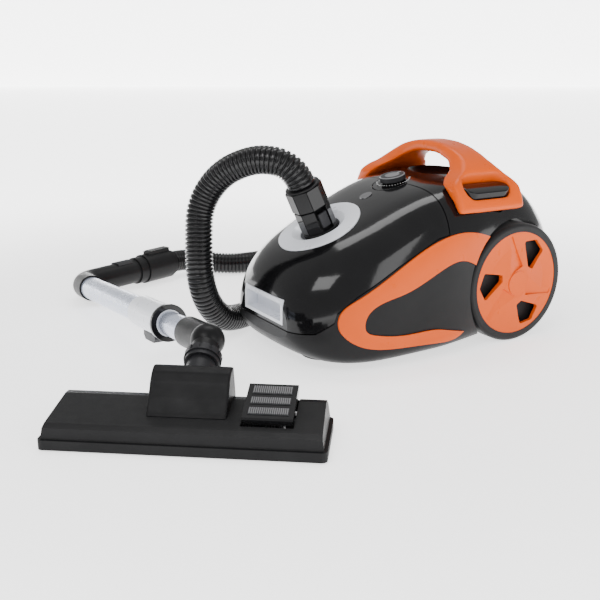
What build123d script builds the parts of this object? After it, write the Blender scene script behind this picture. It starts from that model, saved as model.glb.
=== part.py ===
from build123d import *
import os
from math import cos, sin, pi, radians, tan

# Canister vacuum cleaner: wheeled motor canister, hose, telescopic wand and floor nozzle.
# All sizes are millimetres.  The canister is modelled with X across, -Y forward and Z up,
# the floor at Z = 0 and the rear axle above the origin.  The last step moves everything so
# that the origin is the bottom centre of the machine without its loose hose.

# ---- canister body ---------------------------------------------------------------------
WALL = 3.0                  # shell thickness
SEAM = 0.8                  # half of the gap between two shells
SEAM_Y = -120.0             # joint between the lid and the rear housing
NOSE_Y, TAIL_Y = -320.0, 110.0
SECTION_POINTS = 28
# Body cross-sections: y, half width, top, bottom, height of the widest line,
# roundness of the upper half, roundness of the lower half
STATIONS = [
    (NOSE_Y, 60, 88, 34, 50, 2.4, 2.6),
    (-312, 80, 110, 22, 48, 2.4, 3.2),
    (-294, 98, 131, 12, 46, 2.6, 4.2),
    (-254, 116, 155, 4, 48, 3.0, 5.5),
    (-186, 124, 185, 3, 55, 3.6, 6.0),
    (SEAM_Y, 124, 210, 4, 62, 4.0, 6.0),
    (-60, 117, 221, 7, 68, 4.2, 6.0),
    (0, 108, 218, 13, 74, 4.2, 5.5),
    (50, 100, 196, 26, 84, 3.6, 4.0),
    (88, 82, 154, 46, 92, 2.8, 3.0),
    (TAIL_Y, 54, 118, 72, 96, 2.4, 2.4),
]

# ---- rear wheels -----------------------------------------------------------------------
WHEEL_R, WHEEL_CAP_R = 80.0, 68.6
WHEEL_IN, WHEEL_OUT = 88.0, 116.0
WELL_R, WELL_IN = 85.0, 84.0
VANE_ANGLE, VANE_TILT = 85.0, 9.0   # place and slope of the flats between the cap's openings
AXLE_R, AXLE_CLEARANCE = 6.0, 0.06

# ---- casters ---------------------------------------------------------------------------
CASTER_X, CASTER_Y, CASTER_R = 44.0, -256.0, 13.0
CASTER_TRAIL = 7.0
CASTER_WELL_R = 29.0

# ---- inlet, hose connector -------------------------------------------------------------
INLET_Y, INLET_Z, INLET_TILT = -238.0, 161.5, 25.0
INLET_RING_R, INLET_HOLE_R = 56.0, 27.0
CONNECTOR_R, CONNECTOR_BORE_R = 22.5, 16.0
CONNECTOR_TOP, CUFF_TOP = 29.0, 60.0

# ---- top controls ----------------------------------------------------------------------
HINGE_Y, HINGE_Z = -120.4, 208.8
KNOB_Y, KNOB_Z, KNOB_TILT = -122.0, 210.8, 13.0
KNOB_R, KNOB_H = 17.5, 8.0
TONGUE_R = 27.0
INDICATOR_Y, INDICATOR_R = -166.0, 8.0
HANDLE_Y = -50.0
PEDAL_AT = (100.0, -52.0, 204.0)   # middle of the left pedal's top
PEDAL_LEAN = 0.35                  # outward lean of the pedals, sideways over up

# ---- latch -----------------------------------------------------------------------------
LATCH_HALF_W, LATCH_LOW, LATCH_HIGH = 49.0, 54.0, 86.0

# ---- inside the canister ---------------------------------------------------------------
MOTOR_Z, MOTOR_R = 137.0, 46.0
REEL_Y, REEL_R, REEL_LOW, REEL_HIGH = 20.0, 61.0, 52.0, 86.0
BULKHEAD_Y = -114.0

# ---- hose ------------------------------------------------------------------------------
HOSE_R, HOSE_BORE_R = 18.0, 14.8
RUN_SHARE = 0.45            # part of the shorter run that each bend uses
# Route of the hose centre line, from the canister cuff over the arch to the floor
HOSE_ARCH = [(0, -268.5, 226.8), (-5.4, -279.8, 239.7), (-15.3, -292.8, 247), (-38, -314, 247),
             (-70, -342, 228), (-88, -364, 188), (-82, -370, 138), (-76, -372, 86), (-87, -352, 44),
             (-107, -317, 18), (-127, -276, 18)]
# along the floor beside and behind the canister, in one wide turn
HOSE_FLOOR = [(-127, -276, 18), (-147, -235, 18), (-158, -175, 18), (-160, -105, 18), (-154, -38, 18),
              (-158, 33, 18), (-189, 91, 18), (-247, 124, 18), (-314, 124, 18), (-371, 91, 18),
              (-404, 33, 18), (-408, -20, 18)]
# and forward again to the hand grip
HOSE_TAIL = [(-408, -20, 18), (-411.17, -62, 18), (-401, -125, 18), (-414, -172, 18), (-440, -210, 23),
             (-447.6, -237.8, 27.2)]

# ---- wand ------------------------------------------------------------------------------
WAND_END = Vector(-373, -435, 25)
OUTER_TUBE_R, OUTER_BORE_R = 17.0, 15.9
INNER_TUBE_R, INNER_BORE_R = 15.0, 14.0
GRIP_END = Vector(-420.9, -321.7, 26.0)
GRIP_BEND = 12.0            # distance from the tube's end to the bend's corner
SLEEVE_BACK, SLEEVE_FRONT, SLEEVE_R = 16.0, 54.0, 24.0

# ---- nozzle ----------------------------------------------------------------------------
NOZZLE_FRONT = Vector(221, -533, 0)
NOZZLE_ALONG = Vector(0.599, 0.801, 0)
NOZZLE_L, NOZZLE_D = 287.0, 89.0
NECK_RISE = 25.0
NECK_PIVOT_Y, NECK_PIVOT_Z = 55.0, 31.0
NECK_LENGTH = 78.0

BIG = 400.0
HOSE_FITTINGS = ("hose_connector", "hose_swivel_cuff", "hose_sleeve")
NODES = {}


# ---- helpers ---------------------------------------------------------------------------
def box(x0, x1, y0, y1, z0, z1):
    """Block between two corners."""
    return Pos((x0 + x1) / 2, (y0 + y1) / 2, (z0 + z1) / 2) * Box(x1 - x0, y1 - y0, z1 - z0)


def frame_at(origin, axis, across=None):
    """Location with its Z along axis."""
    return Plane(origin=origin, z_dir=axis, x_dir=across).location


def rod(radius, start, end, bore=0.0):
    """Round bar or tube from start to end, in local Z."""
    bar = Pos(0, 0, (start + end) / 2) * Cylinder(radius, end - start)
    if bore:
        bar -= Pos(0, 0, (start + end) / 2) * Cylinder(bore, end - start + 2)
    return bar


def rod_x(radius, x0, x1, y, z, bore=0.0):
    """Round bar or tube along X."""
    return Pos(0, y, z) * Rot(0, 90, 0) * rod(radius, x0, x1, bore)


def rod_y(radius, y0, y1, x, z, bore=0.0):
    """Round bar or tube along Y."""
    return Pos(x, 0, z) * Rot(-90, 0, 0) * rod(radius, y0, y1, bore)


def side_prism(points, x0=-BIG, x1=BIG):
    """Prism across X with a (y, z) outline."""
    wire = Wire.make_polygon([Vector(x0, y, z) for y, z in points], close=True)
    return extrude(Face(wire), amount=x1 - x0, dir=(1, 0, 0))


def front_prism(points, y0, y1):
    """Prism along Y with an (x, z) outline."""
    wire = Wire.make_polygon([Vector(x, y0, z) for x, z in points], close=True)
    return extrude(Face(wire), amount=y1 - y0, dir=(0, 1, 0))


def mirror_x(shape):
    """The same part on the other side of the machine."""
    return mirror(shape, about=Plane.YZ)


def add(name, shape):
    """Keep a finished sub-part under its node name."""
    NODES[name] = shape


# ---- canister envelope -----------------------------------------------------------------
def section_wire(station, inset):
    """One rounded cross-section of the body, shrunk all round by inset."""
    y, half_w, top, bottom, mid, round_up, round_down = station
    if y == NOSE_Y:
        y = y + inset
    if y == TAIL_Y:
        y = y - inset
    points = []
    for k in range(SECTION_POINTS):
        angle = 2 * pi * (k + 0.5) / SECTION_POINTS
        c, s = cos(angle), sin(angle)
        power = 2 / (round_up if s > 0 else round_down)
        height = (top - mid if s > 0 else mid - bottom) - inset
        x = (half_w - inset) * abs(c) ** power * (1 if c > 0 else -1)
        z = mid + height * abs(s) ** power * (1 if s > 0 else -1)
        points.append(Vector(x, y, z))
    return Wire([Edge.make_spline(points, periodic=True)])


def envelope(inset=0.0):
    """The solid body form, shrunk by inset."""
    return Solid.make_loft([section_wire(s, inset) for s in STATIONS])


LID_EDGE = [(-281, 66), (-277.5, 77), (-254, 95.5), (-197, 127.5), (-137, 155.5)]
LID_FRONT = [(-345, 47), (-300, 52)]


def lid_region():
    """Everything the hinged lid covers: in front of the seam and above the side trims."""
    low = LID_FRONT + LID_EDGE + [(SEAM_Y - SEAM, 158)]
    return side_prism(low + [(SEAM_Y - SEAM, 300), (-345, 300)])


def base_region():
    """Everything below the lid edge and, at the back, below the rear housing."""
    edge = [(y, z - 2 * SEAM) for y, z in LID_FRONT + LID_EDGE]
    rear = [(SEAM_Y + SEAM, 157), (-96, 158.5), (-54, 148), (0, 128), (60, 104), (150, 96)]
    return side_prism([(-345, -20)] + edge + rear + [(150, -20)])


def rear_region():
    """Everything above the base behind the lid seam."""
    edge = [(SEAM_Y + SEAM, 157.2), (-96, 158.7), (-54, 148.2), (0, 128.2), (60, 104.2), (150, 96.2)]
    return side_prism(edge + [(150, 300), (SEAM_Y + SEAM, 300)])


def wheel_wells():
    """Space for both rear wheels."""
    well = rod_x(WELL_R, WELL_IN, 200, 0, WHEEL_R)
    return well + mirror_x(well)


def tongue():
    """Round tab of the rear housing that carries the power knob."""
    return Pos(0, KNOB_Y, 200) * Cylinder(TONGUE_R, 60)


def grip_bowl(grow):
    """Ellipsoid that hollows the top under the carrying handle."""
    return Pos(0, HANDLE_Y, 228) * scale(Sphere(1), by=(50 + grow, 34 + grow, 24 + grow))


def pedal_location():
    """Frame of the left pedal, Z along its travel."""
    return frame_at(Vector(*PEDAL_AT), Vector(PEDAL_LEAN, 0, 1), Vector(1, 0, -PEDAL_LEAN))


def pedal_outline(grow, low, high):
    """Rounded bar of the pedal's plan shape, in the pedal frame."""
    plan = Rot(0, 0, 90) * SlotOverall(73 + 2 * grow, 28 + 2 * grow)
    return pedal_location() * (Pos(0, 0, low) * extrude(plan, high - low))


def knob_location():
    """Axis of the power knob, square to the sloping top."""
    tilt = radians(KNOB_TILT)
    return frame_at(Vector(0, KNOB_Y, KNOB_Z), Vector(0, -sin(tilt), cos(tilt)), Vector(1, 0, 0))


def hinge_channel(radius):
    """Round bars of the lid hinge, either side of the knob."""
    return rod_x(radius, 32, 52, HINGE_Y, HINGE_Z) + rod_x(radius, -52, -32, HINGE_Y, HINGE_Z)


def inlet_location():
    """Axis of the hose inlet, tilted forward."""
    tilt = radians(INLET_TILT)
    return frame_at(Vector(0, INLET_Y, INLET_Z), Vector(0, -sin(tilt), cos(tilt)), Vector(1, 0, 0))


def latch_block(grow, y_back):
    """Outline block of the lid latch."""
    return box(-LATCH_HALF_W - grow, LATCH_HALF_W + grow, NOSE_Y - 30, y_back,
               LATCH_LOW - grow, LATCH_HIGH + grow)


def caster_positions():
    """Left and right caster pivots."""
    return [("left", CASTER_X), ("right", -CASTER_X)]


def caster_cup():
    """Round cup in the base that houses one caster."""
    cup = rod(CASTER_WELL_R + 1, 6, 34, CASTER_WELL_R - 2.4)
    cup += rod(CASTER_WELL_R + 1, 31.5, 34)
    return cup + rod(7, 31.5, 44)


# ---- shells ----------------------------------------------------------------------------
def make_shells(outer, inner):
    """Base tray, rear housing and lid, cut from one hollow form."""
    shell = (outer - inner) - wheel_wells()
    liner = (inner & wheel_wells_skin())
    base = (shell + liner) & base_region()
    for _, x in caster_positions():
        base -= Pos(x, CASTER_Y, 15) * Cylinder(CASTER_WELL_R, 60)
    base -= rod_y(9.0, 80, 130, 0, 75)
    base -= box(-45, 45, 100, 130, 85, 118)
    for _, x in caster_positions():
        base += caster_cup().moved(Location((x, CASTER_Y, 0)))
        base -= Pos(x, CASTER_Y, 38) * Cylinder(3.05, 20)
    post = Pos(0, REEL_Y, 0) * rod(7, 24, REEL_HIGH + 1)
    base += post & inner
    axle = rod_x(AXLE_R, WELL_IN - 6, WHEEL_OUT - 9, 0, WHEEL_R)
    base += axle + mirror_x(axle)
    add("base_tray", largest(base))

    rear = ((shell + liner) & rear_region()) + (shell & tongue() & box(-60, 60, -160, SEAM_Y + 1, 190, 240))
    rear -= grip_bowl(3.0)
    rear -= knob_location() * rod(3.4, -20, 20)
    hole = pedal_outline(0.8, -40, 40)
    rear -= hole + mirror_x(hole)
    rear -= box(-45, 45, 100, 130, 85, 118)
    rear += (grip_bowl(3.2) - grip_bowl(0.0)) & outer
    rear += hinge_channel(1.0)
    add("rear_housing", largest(rear))

    lid = shell & lid_region()
    lid -= Pos(0, KNOB_Y, 200) * Cylinder(TONGUE_R + 2 * SEAM, 60)
    lid -= inlet_location() * rod(INLET_RING_R + 0.3, -20, 30)
    lid -= Pos(0, INDICATOR_Y, 190) * Cylinder(INDICATOR_R + 0.2, 40)
    lid -= latch_block(0.6, -300)
    lid -= hinge_channel(1.2)
    add("lid_shell", largest(lid))


def wheel_wells_skin():
    """Inner walls of the wheel wells."""
    skin = rod_x(WELL_R + WALL, WELL_IN - WALL, 200, 0, WHEEL_R) - rod_x(WELL_R, WELL_IN, 201, 0, WHEEL_R)
    return skin + mirror_x(skin)


def trim_outline():
    """Orange side trim: an upper band, a front corner and a lower band."""
    outer = [(-40, 144), (-58, 151), (-96, 158.5), (-136, 152.5), (-196, 124.5), (-253, 92.5),
             (-275, 75), (-277, 60), (-263, 41), (-207, 26), (-140, 22), (-104, 24), (-94, 30)]
    inner = [(-128, 38), (-192, 41), (-229, 46), (-245, 54), (-245, 67), (-194, 93), (-134, 117),
             (-104, 124), (-85, 119), (-60, 100)]
    points = [Vector(90, y, z) for y, z in outer]
    back = [Vector(90, y, z) for y, z in inner]
    edges = [Edge.make_spline(points), Edge.make_line(points[-1], back[0]),
             Edge.make_spline(back), Edge.make_line(back[-1], points[0])]
    return extrude(Face(Wire(edges)), amount=60, dir=(1, 0, 0))


def make_trims(outer):
    """Raised orange bands on both sides of the base."""
    proud = envelope(-2.0)
    band = (proud - outer) - rod_x(WELL_R, -200, 200, 0, WHEEL_R)
    sides = [largest(band & trim_outline()), largest(band & mirror_x(trim_outline()))]
    add("side_trims", Compound(children=sides))


# ---- carrying handle and pedals --------------------------------------------------------
def make_handle(outer):
    """Arched handle across the machine, ending in a ring round each pedal."""
    over = [(0, 262), (42, 257), (76, 243), (98, 224), (113, 202), (120, 182)]
    under = [(104, 178), (92, 200), (76, 216), (60, 230), (36, 242), (0, 246)]
    half = [Edge.make_spline([Vector(x, -120, z) for x, z in over]),
            Edge.make_line(Vector(120, -120, 182), Vector(104, -120, 178)),
            Edge.make_spline([Vector(x, -120, z) for x, z in under]),
            Edge.make_line(Vector(0, -120, 246), Vector(0, -120, 262))]
    arch = extrude(Face(Wire(half)), amount=140, dir=(0, 1, 0))
    flank = [(-104, 176), (-104, 214), (-96, 222), (-80, 230), (-70, 242), (-68, 266),
             (-30, 266), (-27, 242), (-14, 226), (2, 212), (4, 204), (2, 176)]
    arch = arch & side_prism(flank, -10, 130)
    arch -= pedal_outline(0.7, -60, 60)
    pair = (arch + mirror_x(arch)) - outer
    add("carry_handle", largest(pair))


def largest(shape):
    """The biggest solid of a shape."""
    return max(shape.solids(), key=lambda s: s.volume)


def make_pedals():
    """Power switch pedal and cord rewind pedal."""
    at = pedal_location()
    crown = at * (Pos(0, 0, -52) * Rot(90, 0, 0) * Cylinder(60, 90))
    pedal = (pedal_outline(0.0, -6, 12) & crown) + at * rod(5, -22, -5)
    add("power_pedal", pedal)
    add("rewind_pedal", mirror_x(pedal))


# ---- knob, indicator -------------------------------------------------------------------
def make_controls():
    """Power knob, its potentiometer board, and the bag-full indicator."""
    at = knob_location()
    knob = rod(KNOB_R, 1.2, 1.2 + KNOB_H)
    knob = fillet(knob.edges().group_by(Axis.Z)[-1], 1.5)
    knob += rod(3.0, -16, 2)
    add("power_knob", at * knob)
    board = Pos(0, 6, -23) * Box(52, 46, 1.6) + rod(9, -22.3, -16) - rod(3.1, -17, -10)
    board -= rod(3.1, -20, 10)
    board += Pos(-17, -8, -19.5) * Box(10, 12, 6) + Pos(17, 16, -20) * Box(10, 10, 5)
    add("speed_control_board", at * board)
    window = (envelope(-0.8) - envelope(1.6)) & (Pos(0, INDICATOR_Y, 190) * Cylinder(INDICATOR_R, 60))
    add("bag_indicator_window", window)
    add("bag_indicator_flag", Pos(0, INDICATOR_Y, 182) * Cylinder(5.5, 5))


# ---- inlet and hose connector ----------------------------------------------------------
def make_inlet():
    """Silver inlet ring with its funnel, the seal, the plug-in connector and swivel cuff."""
    at = inlet_location()
    ring = (envelope(-1.6) - envelope(WALL)) & (at * rod(INLET_RING_R, -30, 40))
    ring += at * rod(INLET_HOLE_R + 4, -36, 1)
    ring -= at * rod(INLET_HOLE_R, -40, 60)
    funnel = at * (Pos(0, 0, 2) * Cone(INLET_HOLE_R - 1, INLET_RING_R - 8, 14))
    add("inlet_ring", largest(ring - funnel))
    add("inlet_seal", at * rod(INLET_HOLE_R - 0.1, -34, -24, CONNECTOR_R + 0.1))
    connector = rod(CONNECTOR_R, -32, CONNECTOR_TOP, CONNECTOR_BORE_R)
    connector += rod(CONNECTOR_R - 3, CONNECTOR_TOP, CONNECTOR_TOP + 14, CONNECTOR_BORE_R)
    pockets = Pos(0, 0, 14) * Box(60, 13, 20)
    connector -= pockets - Pos(0, 0, 14) * Cylinder(19.6, 30)
    add("hose_connector", at * connector)
    for side, name in ((1, "snap_button_left"), (-1, "snap_button_right")):
        button = (Pos(0, 0, 14) * Box(60, 12, 19)) & (Pos(0, 0, 14) * rod(24.2, -15, 15, 21.2))
        button = button & Pos(30 * side, 0, 14) * Box(60, 60, 60)
        add(name, at * button)
    cuff = rod(23.2, CONNECTOR_TOP + 0.4, CUFF_TOP, HOSE_R - 2.6)
    cuff -= rod(CONNECTOR_R - 2.92, CONNECTOR_TOP - 1, CONNECTOR_TOP + 14.4)
    add("hose_swivel_cuff", at * cuff)


# ---- latch -----------------------------------------------------------------------------
def make_latch():
    """Silver lid grip with its finger recess and catch."""
    frame = envelope(-0.6) & latch_block(0, -300.8)
    pocket = box(-LATCH_HALF_W + 5, LATCH_HALF_W - 5, NOSE_Y - 30, -304.4, LATCH_LOW + 4, LATCH_HIGH - 6)
    frame = largest(frame - pocket)
    frame += box(-10, 10, -306, -301, LATCH_LOW - 12, LATCH_LOW + 2)
    add("lid_latch", frame)


# ---- wheels and casters ----------------------------------------------------------------
def make_wheels():
    """Two rear wheels: rubber tyre on a black core, and an orange cap with three windows."""
    tyre = rod(WHEEL_R, WHEEL_IN, WHEEL_OUT, WHEEL_CAP_R + 0.2)
    tyre = fillet(tyre.edges().filter_by(lambda e: e.length > 2 * pi * (WHEEL_R - 1)), 5)
    core = rod(WHEEL_CAP_R + 0.3, WHEEL_IN + 2, WHEEL_OUT - 12) + rod(14, WHEEL_IN, WHEEL_OUT - 6)
    core -= rod(AXLE_R + AXLE_CLEARANCE, WHEEL_IN - 1, WHEEL_OUT - 8)
    dish = rod(WHEEL_CAP_R, WHEEL_OUT - 5.5, WHEEL_OUT - 0.5)
    dish += Pos(0, 0, WHEEL_OUT) * Cone(WHEEL_CAP_R - 4, 20, 4)
    dish += rod(16, WHEEL_OUT, WHEEL_OUT + 3.2)
    for k in range(3):
        turned = Rot(0, 0, 120 * k)
        dish -= turned * cap_window()
        slant = Pos(40, 0, WHEEL_OUT + 3.4) * Rot(VANE_TILT, 0, 0) * Box(46, 34, 5)
        dish -= turned * (Rot(0, 0, VANE_ANGLE) * slant)
    turn = Rot(0, 90, 0)
    for side, suffix in ((1, "left"), (-1, "right")):
        for name, shape in (("wheel_", tyre + core), ("wheel_cap_", dish)):
            part = Pos(0, 0, WHEEL_R) * turn * shape
            add(name + suffix, part if side > 0 else mirror_x(part))


def cap_window():
    """Swept five-sided opening in the wheel cap, given by radius and angle."""
    corners = [(30, 32), (60, 41), (64, 60), (56, 79), (27, 50)]
    points = [(r * cos(radians(a)), r * sin(radians(a))) for r, a in corners]
    wedge = Wire.make_polygon([Vector(-z, y, 100) for y, z in points], close=True)
    cutter = extrude(Face(wedge), amount=30, dir=(0, 0, 1))
    return fillet(cutter.edges().filter_by(Axis.Z), 3)


def make_casters():
    """Two swivelling front casters in round cups."""
    for suffix, x in caster_positions():
        at = Location((x, CASTER_Y, 0))
        turn = Pos(0, -CASTER_TRAIL, CASTER_R) * Rot(0, 90, 0)
        fork = rod(3, 28.5, 43) + rod(15, 28.0, 31.0)
        fork += box(-9.5, -7, -12, 5, 10, 28) + box(7, 9.5, -12, 5, 10, 28)
        fork += turn * rod(2.0, -9.0, 9.0)
        add("caster_fork_" + suffix, fork.moved(at))
        roller = rod(CASTER_R, -6.4, 6.4)
        roller = fillet(roller.edges(), 2)
        roller -= rod(2.06, -8, 8)
        add("caster_wheel_" + suffix, (turn * roller).moved(at))


# ---- inside the canister ---------------------------------------------------------------
def make_bulkhead():
    """Wall between the dust chamber and the motor, with its grille and filters."""
    wall = envelope(WALL + 0.4) & box(-BIG, BIG, BULKHEAD_Y - 1.5, BULKHEAD_Y + 1.5, 0, 186)
    wall -= box(-50, 50, BULKHEAD_Y - 5, BULKHEAD_Y + 5, 90, 180)
    for k in range(7):
        wall += box(-50, 50, BULKHEAD_Y - 1.5, BULKHEAD_Y + 1.5, 96 + 12 * k, 99 + 12 * k)
    add("bulkhead_grille", wall)
    filt = box(-52, 52, BULKHEAD_Y - 12, BULKHEAD_Y - 2.2, 88, 182)
    add("motor_filter", filt)


def make_bag():
    """Paper dust bag and the holder that keeps it under the inlet."""
    body = box(-84, 84, -288, -134, 46, 99)
    body = fillet(body.edges(), 22)
    hollow = box(-82, 82, -286, -136, 48, 97)
    hollow = fillet(hollow.edges(), 20)
    at = inlet_location()
    add("dust_bag", body - hollow - at * rod(20, -110, -40))
    holder = at * (Pos(0, 0, -40.5) * Box(104, 84, 3)) - at * rod(28, -60, -20)
    add("bag_holder", holder)


def make_motor():
    """Motor and fan unit: housing, stator, armature shaft and impeller."""
    y0, y1 = -104, 2
    can = rod_y(MOTOR_R, y0, y0 + 42, 0, MOTOR_Z) - rod_y(MOTOR_R - 2.5, y0 + 2.5, y0 + 44, 0, MOTOR_Z)
    can -= rod_y(16, y0 - 5, y0 + 5, 0, MOTOR_Z)
    can += rod_y(MOTOR_R - 0.1, y0 + 39.5, y0 + 42, 0, MOTOR_Z)
    can += rod_y(34, y0 + 42, y1, 0, MOTOR_Z) - rod_y(31, y0 + 30, y1 - 4, 0, MOTOR_Z)
    can -= rod_y(4.06, y0 + 30, y1 + 5, 0, MOTOR_Z)
    can += rod_y(40, y1 - 12, y1 - 3, 0, MOTOR_Z, 33.9)
    can += box(-46, -38, y1 - 12, y1 - 3, MOTOR_Z - 16, MOTOR_Z + 16)
    can += box(38, 46, y1 - 12, y1 - 3, MOTOR_Z - 16, MOTOR_Z + 16)
    add("motor_housing", can)
    add("motor_stator", rod_y(30.5, -52, -14, 0, MOTOR_Z, 19))
    shaft = rod_y(4, y0 + 8, y1 + 6, 0, MOTOR_Z)
    add("armature", shaft + rod_y(18, -52, -14, 0, MOTOR_Z) + rod_y(11, -14, -6, 0, MOTOR_Z))
    fan = rod_y(40, y0 + 28, y0 + 30, 0, MOTOR_Z) + rod_y(10, y0 + 12, y0 + 30, 0, MOTOR_Z)
    for k in range(9):
        blade = Rot(0, 0, 40 * k) * (Pos(24, 0, 0) * Box(30, 1.6, 14))
        fan += Pos(0, y0 + 21, MOTOR_Z) * Rot(-90, 0, 0) * blade
    fan -= rod_y(4.02, y0, y0 + 40, 0, MOTOR_Z)
    add("impeller", fan)


def make_reel():
    """Mains cord reel on its post, and the outlet bush in the tail."""
    drum = rod(REEL_R, REEL_LOW, REEL_LOW + 2) + rod(REEL_R, REEL_HIGH - 2, REEL_HIGH)
    drum += rod(24, REEL_LOW, REEL_HIGH)
    drum -= rod(7.06, REEL_LOW - 2, REEL_HIGH + 2)
    add("cord_reel", drum.moved(Location((0, REEL_Y, 0))))
    add("cord_outlet_bush", rod_y(8.9, 103.8, 114, 0, 75, 4.5))


def make_exhaust():
    """Exhaust filter behind a slotted grille in the tail."""
    grille = box(-44.8, 44.8, 106.6, 110.4, 85.2, 117.8)
    for k in range(4):
        grille -= box(-39, 39, 100, 115, 90 + 6.4 * k, 93.4 + 6.4 * k)
    add("exhaust_grille", grille)
    add("exhaust_filter", box(-40, 40, 94, 103.5, 88, 114))


def make_switch():
    """Mains switch under the power pedal."""
    body = pedal_location() * (Pos(0, 0, -31) * Box(18, 24, 6))
    add("power_switch", body)


# ---- wand ------------------------------------------------------------------------------
def nozzle_place():
    """Local frame of the nozzle: X along it, Y backward, Z up, from its front edge."""
    return Plane(origin=NOZZLE_FRONT, x_dir=NOZZLE_ALONG, z_dir=Vector(0, 0, 1)).location


def nozzle_point(x, y, z):
    """A nozzle-frame point in the canister frame."""
    back = Vector(-NOZZLE_ALONG.Y, NOZZLE_ALONG.X, 0)
    return NOZZLE_FRONT + NOZZLE_ALONG * x + back * y + Vector(0, 0, z)


def neck_direction():
    """Direction of the tilting neck, up and backward."""
    back = Vector(-NOZZLE_ALONG.Y, NOZZLE_ALONG.X, 0)
    return back * cos(radians(NECK_RISE)) + Vector(0, 0, sin(radians(NECK_RISE)))


def elbow_centre():
    """Where the neck's swivel axis meets the wand axis."""
    return nozzle_point(0, NECK_PIVOT_Y, NECK_PIVOT_Z) + neck_direction() * (NECK_LENGTH + 20)


def wand_location():
    """Frame on the wand axis, Z from the elbow towards the hand grip, X upward."""
    start = elbow_centre()
    axis = (WAND_END - start).normalized()
    return Plane(origin=start, z_dir=axis, x_dir=Vector(0, 0, 1) - axis * axis.Z).location


def wand_length():
    """Distance from the elbow to the start of the hand grip."""
    return (WAND_END - elbow_centre()).length


def make_wand():
    """Telescopic tubes, lock sleeve, lock button and the bent hand grip."""
    at = wand_location()
    end = wand_length()
    inner_tube = rod(INNER_TUBE_R, 22, 430, INNER_BORE_R)
    for k in range(16):
        inner_tube -= Pos(-INNER_TUBE_R, 0, 64 + 20 * k) * Box(3, 9, 5)
    add("inner_tube", at * inner_tube)
    add("outer_tube", at * rod(OUTER_TUBE_R, 134, end, OUTER_BORE_R))
    sleeve = rod(20.5, 134, 212, OUTER_TUBE_R + 0.05) + rod(20.5, 126, 134, INNER_TUBE_R + 0.07)
    sleeve -= Pos(-17, 0, 170) * Box(20, 18, 42)
    sleeve += rod(22.5, 116, 127, INNER_TUBE_R + 0.07)
    add("lock_sleeve", at * sleeve)
    button = Pos(-25.3, 0, 170) * Box(11, 16.6, 40)
    button = chamfer(button.edges().filter_by(Axis.Y).group_by(Axis.X)[0], 5)
    add("lock_button", at * button)


def grip_axis():
    """Direction of the hand grip's straight end."""
    return (GRIP_END - WAND_END - wand_axis() * GRIP_BEND).normalized()


def wand_axis():
    """Direction of the tubes, from the elbow to the hand."""
    return (WAND_END - elbow_centre()).normalized()


def grip_location():
    """Frame at the end of the bent grip tube, X downward."""
    axis = grip_axis()
    return Plane(origin=GRIP_END, z_dir=axis, x_dir=axis * axis.Z - Vector(0, 0, 1)).location


def make_grip():
    """Bent hand grip, wide sleeve with its hook fin, and the sliding air regulator."""
    start = WAND_END - wand_axis() * 40
    path = FilletPolyline(start, WAND_END + wand_axis() * GRIP_BEND, GRIP_END, radius=32)
    plane = Plane(origin=start, z_dir=wand_axis())
    grip = sweep(plane * Circle(OUTER_TUBE_R + 2.5), path=path)
    grip -= sweep(plane * Circle(OUTER_TUBE_R - 2.5), path=path)
    grip -= frame_at(start, wand_axis()) * rod(OUTER_TUBE_R + 0.05, -1, 40)
    at = grip_location()
    grip -= at * (Pos(-18, 0, -38) * Box(12, 7, 12))
    add("hand_grip", grip)
    slide = rod(21.6, -54, -26) - rod(19.8, -60, -20)
    add("air_slider", at * (slide & Pos(-20, 0, -40) * Box(14, 20, 28)))
    sleeve = rod(SLEEVE_R - 2, -SLEEVE_BACK, 6, OUTER_TUBE_R + 2.55)
    sleeve += rod(SLEEVE_R, 0, SLEEVE_FRONT, HOSE_R + 2)
    sleeve += rod(SLEEVE_R - 1, 0, 5, OUTER_TUBE_R)
    fin = Pos(-SLEEVE_R, 0, 32) * Box(9, 14, 44)
    fin -= Pos(-SLEEVE_R - 7, 0, 4) * Rot(0, -14, 0) * Box(10, 20, 70)
    sleeve += fin - rod(SLEEVE_R - 2, 0, 60)
    sleeve += rod(HOSE_R + 2.6, SLEEVE_FRONT - 4, SLEEVE_FRONT + 8, HOSE_BORE_R)
    add("hose_sleeve", at * sleeve)


# ---- hose ------------------------------------------------------------------------------
def hose_tube(name, points):
    """Plain hose tube along straight runs joined by tangent bends."""
    route = [Vector(*p) for p in points]
    radii = []
    for a, b, c in zip(route, route[1:], route[2:]):
        shorter = min((b - a).length, (c - b).length)
        turn = (b - a).get_angle(c - b)
        radii.append(RUN_SHARE * shorter / tan(radians(turn) / 2))
    path = FilletPolyline(*route, radius=radii)
    plane = Plane(origin=route[0], z_dir=route[1] - route[0])
    tube = sweep(plane * (Circle(HOSE_R) - Circle(HOSE_BORE_R)), path=path)
    section = pi * (HOSE_R ** 2 - HOSE_BORE_R ** 2)
    print(name, "length", round(path.length), "radii", [round(r) for r in radii],
          "volume ratio", round(tube.volume / section / path.length, 3))
    add(name, tube)


def make_hose():
    """The loose hose in three stretches: arch, floor turn and tail."""
    cuff_end = Vector(*(inlet_location() * Pos(0, 0, CUFF_TOP)).position)
    grip_end = Vector(*(grip_location() * Pos(0, 0, SLEEVE_FRONT + 8.6)).position)
    hose_tube("hose_arch", [tuple(cuff_end)] + HOSE_ARCH)
    hose_tube("hose_floor", HOSE_FLOOR)
    hose_tube("hose_tail", HOSE_TAIL + [tuple(grip_end)])
    print("hose ends", cuff_end, grip_end)


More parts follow.
